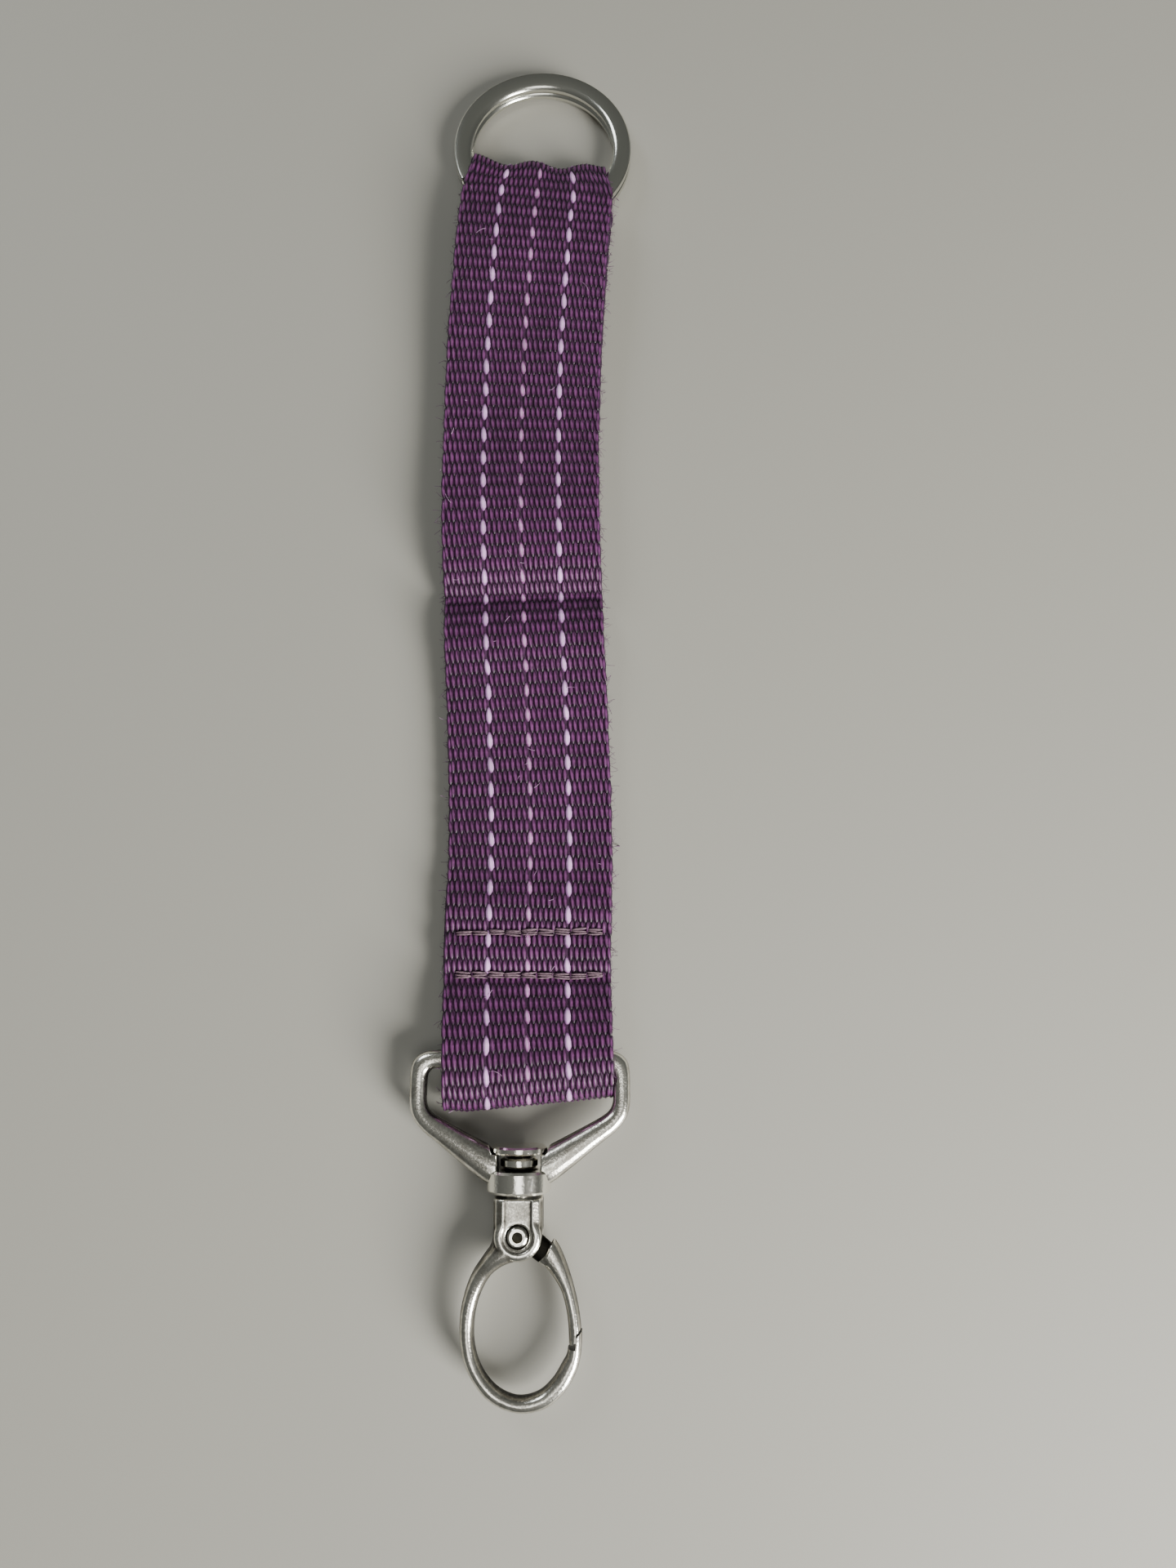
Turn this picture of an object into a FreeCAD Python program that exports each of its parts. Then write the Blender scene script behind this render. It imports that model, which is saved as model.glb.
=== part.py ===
"""Short webbing lanyard: a split ring, a sewn double strap and a swivel snap hook.

Frame, in millimetres: X across the strap, +Y towards the split ring, +Z up from the surface
the lanyard lies on. The origin is under the middle of the whole, on that surface.
"""
import FreeCAD, Part
import math
import os
from FreeCAD import Vector

# ---- driving dimensions ----------------------------------------------------------------
LENGTH = 215.5                  # whole lanyard, ring to hook
WEB_WIDTH = 25.0                # nominal 25 mm webbing
WEB_THICK = 1.6                 # one layer
RING_OUTER_R = 15.1
RING_INNER_R = 12.0
COIL_THICK = 1.4                # one turn of the split ring
COIL_GAP = 0.1
RING_TILT = 2.5                 # degrees, the ring's far side hangs down towards the surface
BAIL_HALF = 16.3                # outside half width of the bail
BAIL_INNER_HALF = 14.0
BAR_WIDE = 2.5                  # bail's bar, seen from above
BAR_THICK = 2.9
PIN_R = 2.4
PIN_RUNNING_GAP = 0.05
COLLAR_R = 4.22
OVAL_OUTER = (8.65, 11.2)       # half axes of the hook's eye, outside
OVAL_INNER = (6.8, 9.0)         # half axes of the hook's eye, inside
OVAL_THICK = 3.4
NECK_HALF = 3.65
NECK_THICK = 6.8
RIVET_R = 1.0
RIVET_HOLE_R = 0.65

# ---- places worked out from them -------------------------------------------------------
RING_SHIFT = 2.27               # the ring lies this far right of the hook's axis
AXIS_X = -(RING_SHIFT + RING_OUTER_R - BAIL_HALF) / 2.0
AXIS_Z = COLLAR_R + 0.03        # the collar just rests on the surface
RING_X = AXIS_X + RING_SHIFT
RING_Y = LENGTH / 2.0 - RING_OUTER_R
RING_Z = 1.5                    # underside of the ring at its centre
HOOK_END = -LENGTH / 2.0
RIVET_Y = HOOK_END + 24.05
NECK_TOP = RIVET_Y + 4.75
COLLAR_BOTTOM = NECK_TOP + 1.5
COLLAR_TOP = COLLAR_BOTTOM + 2.6
HEAD_SEAT = COLLAR_TOP + 2.3    # underside of the pin's head
HEAD_THICK = 1.0
HEAD_R = 3.8
BAR_Y = HEAD_SEAT + 13.45       # middle of the bail's bar

# strap, front face heights along Y, and the strap's slow sideways wander
CREASE_Y = 12.6
CREASE_GAP = 1.7
CREASE_R = 1.95
TIP_Y = 72.9
TIP_GAP = 2.2
TIP_R = 3.5
BAIL_FOLD_Y = -65.9
BAIL_FOLD_R = 4.0
RING_FOLD_Y = RING_Y - 3.4
RING_FOLD_R = 3.45
LOWER_FRONT = [(-54.0, 6.9), (-47.5, 4.8), (-39.0, 4.6), (-30.0, 3.7), (-10.0, 3.7), (3.0, 5.0)]
UPPER_FRONT = [(19.5, 5.7), (28.0, 6.3), (42.0, 6.1), (57.0, 6.6)]
END_FRONT = [(82.0, 6.95)]
CENTRE_LINE = [(-68.0, 1.05), (-25.0, 1.1), (0.0, 0.3), (25.0, -0.85), (50.0, -0.55),
               (70.0, 0.4), (92.0, 2.3)]

SEAM_YS = {"upper": -40.3, "lower": -47.1}
TAIL_END_Y = -35.8
TAIL_SHIFT = -0.9               # the tucked end shows past the left edge
STITCH_COUNT = 8
STITCH_LENGTH = 2.55
STITCH_PITCH = 2.95
THREAD_R = 0.42


# ---- small helpers ---------------------------------------------------------------------
def rounded_face(corners):
    """A flat face on z=0 from (x, y, radius) corners, each turned into a tangent arc."""
    count = len(corners)
    edges = []
    ends = []
    for i in range(count):
        px, py, _ = corners[i - 1]
        x, y, radius = corners[i]
        nx, ny, _ = corners[(i + 1) % count]
        here = Vector(x, y, 0)
        back = (Vector(px, py, 0) - here).normalize()
        ahead = (Vector(nx, ny, 0) - here).normalize()
        if radius <= 0:
            ends.append((here, None, here))
            continue
        half = back.getAngle(ahead) / 2.0
        reach = radius / math.tan(half)
        middle = (back + ahead).normalize() * (radius / math.sin(half) - radius)
        ends.append((here + back * reach, here + middle, here + ahead * reach))
    for i in range(count):
        start, via, stop = ends[i]
        if via is not None:
            edges.append(Part.Arc(start, via, stop).toShape())
        following = ends[(i + 1) % count][0]
        if stop.distanceToPoint(following) > 1e-6:
            edges.append(Part.makeLine(stop, following))
    return Part.Face(Part.Wire(edges))


def slab(face, low, high):
    """The flat face as a solid between two heights."""
    solid = face.extrude(Vector(0, 0, high - low))
    solid.translate(Vector(0, 0, low))
    return solid


def ellipse_face(x, y, half_x, half_y):
    """An upright ellipse on z=0."""
    if half_y > half_x:
        curve = Part.Ellipse(Vector(x, y + half_y, 0), Vector(x + half_x, y, 0), Vector(x, y, 0))
    else:
        curve = Part.Ellipse(Vector(x + half_x, y, 0), Vector(x, y + half_y, 0), Vector(x, y, 0))
    return Part.Face(Part.Wire(curve.toShape()))


def along_y(radius, low, high):
    """A cylinder on the hook's axis between two Y places."""
    return Part.makeCylinder(radius, high - low, Vector(AXIS_X, low, AXIS_Z), Vector(0, 1, 0))


def across_x(points_yz):
    """A closed (y, z) polygon as a solid right across the hook, for trimming."""
    wire = Part.makePolygon([Vector(-40, y, z) for y, z in points_yz + points_yz[:1]])
    return Part.Face(wire).extrude(Vector(80, 0, 0))


def upright(radius, low, high):
    """A cylinder on the rivet's axis between two heights above the hook's axis."""
    return Part.makeCylinder(radius, high - low, Vector(AXIS_X, RIVET_Y, AXIS_Z + low))


# ---- webbing ---------------------------------------------------------------------------
def interpolated(points, start_tangent=None, end_tangent=None):
    curve = Part.BSplineCurve()
    if start_tangent is None:
        curve.interpolate(points)
    else:
        curve.interpolate(points, InitialTangent=start_tangent, FinalTangent=end_tangent)
    return curve.toShape()


def strap_profile(low_y, low_r, high_y, high_r, front, inset=0.0):
    """Side view of a stretch of the doubled strap, between two rounded ends.

    low_r and high_r are the half thicknesses at the ends; an inset gives the hollow inside.
    """
    r0, r1 = low_r - inset, high_r - inset
    c0, c1 = low_y + low_r, high_y - high_r
    first = Vector(0, c1, high_r + r1)
    last = Vector(0, c0, low_r + r0)
    top = [first] + [Vector(0, y, z - inset) for y, z in reversed(front)] + [last]
    flat = Vector(0, -1, 0)
    edges = [
        Part.makeLine(Vector(0, c0, inset), Vector(0, c1, inset)),
        Part.Arc(Vector(0, c1, inset), Vector(0, c1 + r1, high_r), first).toShape(),
        interpolated(top, flat, flat),
        Part.Arc(last, Vector(0, c0 - r0, low_r), Vector(0, c0, inset)).toShape(),
    ]
    face = Part.Face(Part.Wire(edges))
    face.translate(Vector(-30, 0, 0))
    return face.extrude(Vector(60, 0, 0))


def strap_plan(low_y, high_y):
    """Plan of the strap: both selvedges follow the wandering centre line."""
    half = WEB_WIDTH / 2.0
    right = interpolated([Vector(AXIS_X + x + half, y, 0) for y, x in CENTRE_LINE])
    left = interpolated([Vector(AXIS_X + x - half, y, 0) for y, x in reversed(CENTRE_LINE)])
    top = Part.makeLine(right.Curve.value(right.LastParameter), left.Curve.value(left.FirstParameter))
    bottom = Part.makeLine(left.Curve.value(left.LastParameter), right.Curve.value(right.FirstParameter))
    plan = slab(Part.Face(Part.Wire([right, top, left, bottom])), -1.0, 12.0)
    return plan.common(Part.makeBox(60, high_y - low_y, 20, Vector(-30, low_y, -2)))


def lower_webbing():
    high = CREASE_Y - CREASE_GAP / 2.0
    body = strap_profile(BAIL_FOLD_Y, BAIL_FOLD_R, high, CREASE_R, LOWER_FRONT)
    hollow_end = SEAM_YS["lower"] - 2.4
    hollow_r = 2.0
    hollow = strap_profile(BAIL_FOLD_Y, BAIL_FOLD_R, hollow_end, hollow_r, [(-54.5, 6.6)], WEB_THICK)
    body = body.cut(hollow).common(strap_plan(-70.0, CREASE_Y))
    tail = Part.makeBox(WEB_WIDTH, TAIL_END_Y - hollow_end, WEB_THICK,
                        Vector(AXIS_X + 0.95 + TAIL_SHIFT - WEB_WIDTH / 2.0, hollow_end, WEB_THICK))
    body = body.fuse(tail).removeSplitter()
    for seam in SEAM_YS:
        for side in ("needle", "bobbin"):
            body = body.cut(stitches(seam, side))
    return body


def upper_webbing():
    low = CREASE_Y + CREASE_GAP / 2.0
    high = TIP_Y - TIP_GAP / 2.0
    body = strap_profile(low, CREASE_R, high, TIP_R, UPPER_FRONT)
    opening = low + 5.5
    hollow = strap_profile(opening - 1.6, 2.1, high, TIP_R, UPPER_FRONT[1:], WEB_THICK)
    return body.cut(hollow).common(strap_plan(CREASE_Y, TIP_Y))


def ring_end_webbing():
    low = TIP_Y + TIP_GAP / 2.0
    body = strap_profile(low, TIP_R, RING_FOLD_Y, RING_FOLD_R, END_FRONT)
    body = body.cut(strap_profile(low, TIP_R, RING_FOLD_Y, RING_FOLD_R, END_FRONT, WEB_THICK))
    body = body.common(strap_plan(TIP_Y, RING_FOLD_Y + 1.0))
    half = WEB_WIDTH / 2.0
    fold_half = 9.9             # squeezed narrower where it folds inside the ring
    shoulder = RING_FOLD_Y - 5.2
    waist = RING_FOLD_Y - 2.8
    trim = rounded_face([
        (RING_X - half - 5, TIP_Y - 5, 0), (RING_X + half + 5, TIP_Y - 5, 0),
        (RING_X + half + 5, shoulder, 0), (RING_X + half, shoulder, 0),
        (RING_X + fold_half, waist, 2), (RING_X + fold_half, RING_FOLD_Y + 1, 0),
        (RING_X - fold_half, RING_FOLD_Y + 1, 0), (RING_X - fold_half, waist, 2),
        (RING_X - half, shoulder, 0), (RING_X - half - 5, shoulder, 0)])
    return body.common(slab(trim, -1.0, 12.0))


def front_height(y):
    """Height of the front face at the seams."""
    ys = [p[0] for p in LOWER_FRONT]
    for i in range(len(ys) - 1):
        if ys[i] <= y <= ys[i + 1]:
            share = (y - ys[i]) / (ys[i + 1] - ys[i])
            return LOWER_FRONT[i][1] * (1 - share) + LOWER_FRONT[i + 1][1] * share
    return LOWER_FRONT[0][1]


def stitches(seam, side):
    """One thread of a seam: a row of lockstitches half sunk in the webbing."""
    y = SEAM_YS[seam]
    z = front_height(y) - 0.1 if side == "needle" else THREAD_R
    middle = AXIS_X + 0.95
    bars = []
    for i in range(STITCH_COUNT):
        x = middle + (i - (STITCH_COUNT - 1) / 2.0) * STITCH_PITCH
        straight = STITCH_LENGTH - 2 * THREAD_R
        bar = Part.makeCylinder(THREAD_R, straight, Vector(x - straight / 2.0, y, z), Vector(1, 0, 0))
        for end in (-1, 1):
            bar = bar.fuse(Part.makeSphere(THREAD_R, Vector(x + end * straight / 2.0, y, z)))
        bars.append(bar.removeSplitter())
    return Part.makeCompound(bars)


# ---- split ring ------------------------------------------------------------------------
def coil_section(low, crown_up):
    """Half-round section of one turn: flat where the turns meet, crowned outside."""
    high = low + COIL_THICK
    edge = 0.45                 # height of the straight flank next to the flat side
    flat, crown = (low, high) if crown_up else (high, low)
    flank = flat + edge if crown_up else flat - edge
    inner, outer = RING_INNER_R, RING_OUTER_R
    middle = (inner + outer) / 2.0
    points = [Vector(inner, 0, flat), Vector(outer, 0, flat), Vector(outer, 0, flank)]
    arc = Part.Arc(points[2], Vector(middle, 0, crown), Vector(inner, 0, flank)).toShape()
    return Part.Wire([Part.makeLine(points[0], points[1]), Part.makeLine(points[1], points[2]),
                      arc, Part.makeLine(Vector(inner, 0, flank), points[0])])


def split_ring():
    """Two turns of half-round wire joined by a sloping step, closed side by side."""
    start = 205.0               # where the step begins, in degrees from +X
    step = 26.0                 # degrees over which the wire steps from one turn to the other
    gap = 0.6                   # degrees between each free end of the wire and the step
    sweep = 360.0 - step - gap
    turns = []
    for low, crown_up, first in ((0.0, False, start + step + gap),
                                 (COIL_THICK + COIL_GAP, True, start + step)):
        face = Part.Face(coil_section(low, crown_up))
        face.rotate(Vector(0, 0, 0), Vector(0, 0, 1), first)
        turns.append(face.revolve(Vector(0, 0, 0), Vector(0, 0, 1), sweep))
    ring = turns[0].fuse([turns[1], step_piece(start, step)])
    ring.rotate(Vector(0, 0, COIL_THICK), Vector(1, 0, 0), -RING_TILT)
    ring.translate(Vector(RING_X, RING_Y, RING_Z))
    return ring


def step_piece(start, step):
    """The stretch of wire that climbs from the lower turn to the upper one, twisting over."""
    inner, outer = RING_INNER_R + 0.05, RING_OUTER_R - 0.05
    middle = (inner + outer) / 2.0
    across = [inner, inner + 0.4, middle - 0.5, middle + 0.5, outer - 0.4, outer]
    crown = [0.42, 0.95, 1.27, 1.27, 0.95, 0.42]
    sections = []
    count = 7
    for i in range(-1, count + 1):
        share = min(max(i / (count - 1.0), 0.0), 1.0)
        angle = start + step * share
        if i == -1:
            angle -= 1.0
        if i == count:
            angle += 1.0
        rise = (COIL_THICK + COIL_GAP) * share * share * (3 - 2 * share)
        under = [(x, rise + (COIL_THICK - c) * (1 - share) + 0.03 * share) for x, c in zip(across, crown)]
        over = [(x, rise + (COIL_THICK - 0.03) * (1 - share) + c * share) for x, c in zip(across, crown)]
        loop = under + over[::-1]
        wire = Part.makePolygon([Vector(x, 0, z) for x, z in loop + loop[:1]])
        wire.rotate(Vector(0, 0, 0), Vector(0, 0, 1), angle)
        sections.append(wire)
    return Part.makeLoft(sections, True, True)


# ---- swivel bail -----------------------------------------------------------------------
def swivel_bail():
    """Cast D-shaped frame whose arms run down to the collar that carries the pin."""
    top = BAR_Y + BAR_WIDE / 2.0
    under = BAR_Y - BAR_WIDE / 2.0
    elbow = BAR_Y - 9.15
    inner_elbow = BAR_Y - 7.65
    crotch = HEAD_SEAT + 1.05
    crotch_half = HEAD_R + 0.15
    window_half = 2.9
    outer = rounded_face([
        (-BAIL_HALF, top, 3.2), (-BAIL_HALF, elbow, 6.0), (-COLLAR_R, COLLAR_BOTTOM, 0),
        (COLLAR_R, COLLAR_BOTTOM, 0), (BAIL_HALF, elbow, 6.0), (BAIL_HALF, top, 3.2)])
    inner = rounded_face([
        (-BAIL_INNER_HALF, under, 1.4), (-BAIL_INNER_HALF, inner_elbow, 3.2), (-crotch_half, crotch, 0),
        (-crotch_half, HEAD_SEAT - PIN_RUNNING_GAP, 0), (-window_half, HEAD_SEAT - PIN_RUNNING_GAP, 0),
        (-window_half, COLLAR_TOP, 0), (window_half, COLLAR_TOP, 0),
        (window_half, HEAD_SEAT - PIN_RUNNING_GAP, 0), (crotch_half, HEAD_SEAT - PIN_RUNNING_GAP, 0),
        (crotch_half, crotch, 0), (BAIL_INNER_HALF, inner_elbow, 3.2), (BAIL_INNER_HALF, under, 1.4)])
    plan = outer.cut(inner)
    plan.translate(Vector(AXIS_X, 0, 0))
    half_bar = BAR_THICK / 2.0
    half_yoke = 2.2
    frame = round_bar_edges(slab(plan, AXIS_Z - half_bar, AXIS_Z + half_bar), under)
    # the arms thicken towards the collar
    tapered = Part.Face(Part.makePolygon([
        Vector(AXIS_X + x, -90, AXIS_Z + z) for x, z in
        ((-12, -half_bar), (-5, -half_yoke), (5, -half_yoke), (12, -half_bar),
         (12, half_bar), (5, half_yoke), (-5, half_yoke), (-12, half_bar), (-12, -half_bar))]))
    arms = slab(plan, AXIS_Z - half_yoke, AXIS_Z + half_yoke)
    arms = arms.common(tapered.extrude(Vector(0, 90 + inner_elbow, 0)))
    collar = along_y(COLLAR_R, COLLAR_BOTTOM, COLLAR_TOP)
    rims = [e for e in collar.Edges if len(e.Vertexes) == 1]
    collar = collar.makeChamfer(0.3, rims)
    bail = frame.fuse([arms, collar])
    bail = bail.cut(along_y(PIN_R + PIN_RUNNING_GAP, COLLAR_BOTTOM - 1, COLLAR_TOP + 1))
    return bail.removeSplitter()


def round_bar_edges(bail, under):
    """Round the long edges of the bar and of the two side bars."""
    wanted = []
    for edge in bail.Edges:
        box = edge.BoundBox
        level = abs(box.ZMax - box.ZMin) < 1e-6 and abs(abs(box.ZMax - AXIS_Z) - BAR_THICK / 2.0) < 1e-6
        if level and box.YMin > under - 7.0:
            wanted.append(edge)
    return bail.makeFillet(0.7, wanted)


# ---- snap hook -------------------------------------------------------------------------
OVAL_Y = RIVET_Y - 12.85        # middle of the eye's outer ellipse
OVAL_X = AXIS_X + 0.3
INNER_X = AXIS_X + 0.4
INNER_Y = RIVET_Y - 12.95
SLOT_HALF = 1.8                 # fork slot, half its width
SLOT_R = 4.6
GATE_END_R = 4.9                # the gate's upper end clears the neck's round end


def eye_face():
    outer = ellipse_face(OVAL_X, OVAL_Y, *OVAL_OUTER)
    return outer.cut(ellipse_face(INNER_X, INNER_Y, *OVAL_INNER))


def local_face(points):
    """A polygon given from the rivet's centre, in plan."""
    return rounded_face([(AXIS_X + x, RIVET_Y + y, r) for x, y, r in points])


def neck_block():
    """The neck: an eight-sided bar that ends round about the rivet."""
    half = NECK_THICK / 2.0
    plan = local_face([(-NECK_HALF, NECK_TOP - RIVET_Y, 0), (-NECK_HALF, 0, 0),
                       (NECK_HALF, 0, 0), (NECK_HALF, NECK_TOP - RIVET_Y, 0)])
    block = slab(plan, AXIS_Z - half, AXIS_Z + half).fuse(upright(NECK_HALF, -half, half))
    eight = [(NECK_HALF, 1.4), (2.6, half), (-2.6, half), (-NECK_HALF, 1.4),
             (-NECK_HALF, -1.4), (-2.6, -half), (2.6, -half), (NECK_HALF, -1.4), (NECK_HALF, 1.4)]
    section = Part.Face(Part.makePolygon([Vector(AXIS_X + x, RIVET_Y - 6, AXIS_Z + z) for x, z in eight]))
    return block.common(section.extrude(Vector(0, 12, 0)))


def hook_body():
    """Cast hook: forked neck, the fixed side of the eye and the tip that stops the gate."""
    half = OVAL_THICK / 2.0
    gate_room = local_face([(3.0, 0.5, 0), (14.0, 0.5, 0), (14.0, -12.5, 0), (9.3, -12.75, 0),
                            (8.15, -13.85, 0), (8.05, -15.6, 0), (4.5, -15.6, 0), (1.6, -3.3, 0)])
    eye = slab(eye_face(), AXIS_Z - half, AXIS_Z + half)
    flare = local_face([(-NECK_HALF, 2.0, 0), (-NECK_HALF, -0.4, 3.0), (-6.75, -5.9, 0),
                        (-3.6, -5.2, 0), (0.3, -3.3, 0), (0.0, 1.0, 0)])
    flare_solid = slab(flare, AXIS_Z - 2.2, AXIS_Z + 2.2).cut(
        slab(ellipse_face(INNER_X, INNER_Y, *OVAL_INNER), AXIS_Z - 4, AXIS_Z + 4))
    eye = eye.fuse(flare_solid).cut(slab(gate_room, AXIS_Z - 4, AXIS_Z + 4))
    hook = eye.fuse(neck_block())
    # fork slot for the gate's knuckle, open to the lower right
    slot = local_face([(0, 0, 0), (7.0, 0.4, 0), (7.0, -7.0, 0), (-0.6, -7.0, 0)])
    slot_solid = slab(slot, AXIS_Z - SLOT_HALF, AXIS_Z + SLOT_HALF).common(upright(SLOT_R, -3, 3))
    hook = hook.cut(slot_solid.fuse(upright(3.2, -SLOT_HALF, SLOT_HALF)))
    counterbore = 1.7
    for low, high in ((NECK_THICK / 2.0 - 0.5, NECK_THICK), (-NECK_THICK, 0.5 - NECK_THICK / 2.0)):
        hook = hook.cut(upright(counterbore, low, high))
    hook = hook.cut(upright(RIVET_R, -NECK_THICK, NECK_THICK))
    return hook.cut(swivel_pin()).removeSplitter()


def swivel_pin():
    """Headed pin: the head turns on the bail's shoulders, the spigot is riveted in the neck."""
    head = along_y(HEAD_R, HEAD_SEAT, HEAD_SEAT + HEAD_THICK)
    rims = [e for e in head.Edges if len(e.Vertexes) == 1]
    head = head.makeChamfer(0.2, rims)
    shank = along_y(PIN_R, NECK_TOP, HEAD_SEAT + 0.1)
    spigot = along_y(1.6, NECK_TOP - 1.2, NECK_TOP + 0.1)
    return head.fuse([shank, spigot]).removeSplitter()


def gate():
    """Gate: its knuckle turns on the rivet in the fork, its nose half-laps the hook's tip."""
    half = OVAL_THICK / 2.0
    region = local_face([(3.4, -0.25, 0), (4.25, -0.25, 0.6), (6.45, -4.1, 0), (14.0, -8.0, 0),
                         (14.0, -12.3, 0), (9.2, -12.55, 0), (8.05, -13.65, 0), (7.92, -14.45, 0.3),
                         (5.0, -14.45, 0), (2.2, -4.2, 0)])
    shoulder = local_face([(3.4, -0.25, 0), (4.25, -0.25, 0.6), (6.45, -4.1, 0), (7.75, -7.3, 0),
                           (6.0, -7.3, 0), (3.0, -4.4, 0)])
    plan = ellipse_face(OVAL_X, OVAL_Y, *OVAL_OUTER).fuse(shoulder)
    arm = slab(plan, AXIS_Z - half, AXIS_Z + half).common(slab(region, AXIS_Z - half, AXIS_Z + half))
    arm = arm.cut(slab(ellipse_face(INNER_X, INNER_Y, *OVAL_INNER), AXIS_Z - 4, AXIS_Z + 4))
    arm = arm.cut(upright(GATE_END_R, -4, 4))
    low, high = KNUCKLE
    web = slab(local_face([(1.0, -1.0, 0), (4.6, -2.0, 0), (4.0, -5.0, 0), (0.6, -2.0, 0)]),
               AXIS_Z + low, AXIS_Z + high)
    web = web.common(upright(GATE_END_R + 0.4, -3, 3))
    knuckle = upright(2.9, low, high)
    solid = arm.fuse([web, knuckle]).cut(slab(ellipse_face(INNER_X, INNER_Y, *OVAL_INNER), AXIS_Z - 4, AXIS_Z + 4))
    return solid.cut(upright(RIVET_R + 0.06, -4, 4)).removeSplitter()


KNUCKLE = (-0.05, 1.65)         # the knuckle fills the front half of the fork


def gate_rivet():
    """Tubular rivet with rolled heads in the counterbores."""
    half = NECK_THICK / 2.0
    rivet = upright(RIVET_R, -half + 0.5, half - 0.5)
    for low, high in ((half - 0.5, half + 0.12), (-half - 0.12, -half + 0.5)):
        head = upright(1.42, low, high)
        rims = [e for e in head.Edges if len(e.Vertexes) == 1]
        rivet = rivet.fuse(head.makeFillet(0.22, rims))
    return rivet.removeSplitter().cut(upright(RIVET_HOLE_R, -6, 6))


def gate_spring():
    """Torsion spring behind the knuckle: wound on the rivet, one leg to the fork's back wall."""
    wire_r = 0.22
    coil_r = 1.55
    pitch = 2 * wire_r + 0.04
    turns = 2.5
    helix = Part.makeHelix(pitch, pitch * turns, coil_r)
    section = Part.Wire(Part.makeCircle(wire_r, Vector(coil_r, 0, 0), Vector(0, 1, 0)))
    coil = Part.Wire(helix.Edges).makePipeShell([section], True, True)
    coil.translate(Vector(AXIS_X, RIVET_Y, AXIS_Z - SLOT_HALF + wire_r + 0.1))
    return coil


# ---- build and export ------------------------------------------------------------------
def nodes():
    made = {
        "webbing_lower": lower_webbing(),
        "webbing_upper": upper_webbing(),
        "webbing_ring_end": ring_end_webbing(),
        "split_ring": split_ring(),
        "swivel_bail": swivel_bail(),
        "swivel_pin": swivel_pin(),
        "hook_body": hook_body(),
        "gate": gate(),
        "gate_rivet": gate_rivet(),
        "gate_spring": gate_spring(),
    }
    for seam in SEAM_YS:
        for side in ("needle", "bobbin"):
            made["seam_%s_%s_thread" % (seam, side)] = stitches(seam, side)
    return made


os.makedirs("parts", exist_ok=True)
whole = FreeCAD.BoundBox()
for name, shape in nodes().items():
    shape.exportStep("parts/%s.step" % name)
    whole.add(shape.BoundBox)
    box = shape.BoundBox
    print("%-26s solids %2d valid %s vol %8.2f  x %.2f..%.2f y %.2f..%.2f z %.2f..%.2f" % (
        name, len(shape.Solids), shape.isValid(), shape.Volume,
        box.XMin, box.XMax, box.YMin, box.YMax, box.ZMin, box.ZMax))
print("whole x %.3f..%.3f y %.3f..%.3f z %.3f..%.3f" % (
    whole.XMin, whole.XMax, whole.YMin, whole.YMax, whole.ZMin, whole.ZMax))
print("hook axis x %.3f z %.3f, rivet y %.3f, bar y %.3f, ring x %.3f y %.3f" % (
    AXIS_X, AXIS_Z, RIVET_Y, BAR_Y, RING_X, RING_Y))
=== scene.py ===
"""A short webbing lanyard lying flat: doubled purple strap, split ring, swivel bail and snap hook."""
import bisect
import math
import random
import bmesh
import bpy
from mathutils import Matrix, Vector, noise


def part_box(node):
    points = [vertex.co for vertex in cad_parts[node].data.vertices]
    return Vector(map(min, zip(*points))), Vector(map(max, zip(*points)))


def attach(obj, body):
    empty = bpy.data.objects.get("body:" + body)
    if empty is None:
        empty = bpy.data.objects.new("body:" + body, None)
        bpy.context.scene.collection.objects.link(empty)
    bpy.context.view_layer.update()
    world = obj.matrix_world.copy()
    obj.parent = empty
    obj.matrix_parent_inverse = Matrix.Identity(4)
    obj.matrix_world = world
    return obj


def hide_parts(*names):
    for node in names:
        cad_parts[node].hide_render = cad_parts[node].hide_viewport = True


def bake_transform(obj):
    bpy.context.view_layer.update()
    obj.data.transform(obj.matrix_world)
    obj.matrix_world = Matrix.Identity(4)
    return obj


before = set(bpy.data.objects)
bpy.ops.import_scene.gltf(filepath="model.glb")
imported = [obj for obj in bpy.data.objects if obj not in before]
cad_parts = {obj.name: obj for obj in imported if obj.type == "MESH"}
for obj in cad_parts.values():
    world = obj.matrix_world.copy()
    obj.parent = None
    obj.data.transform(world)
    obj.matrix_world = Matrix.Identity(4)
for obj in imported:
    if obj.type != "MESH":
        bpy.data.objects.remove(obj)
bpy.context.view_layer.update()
MM = 0.001
hook_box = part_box("swivel_pin")
axis_x = (hook_box[0][0] + hook_box[1][0]) / 2 / MM     # the hook's axis, in millimetres
axis_z = (hook_box[0][2] + hook_box[1][2]) / 2 / MM
dice = random.Random(7)

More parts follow.
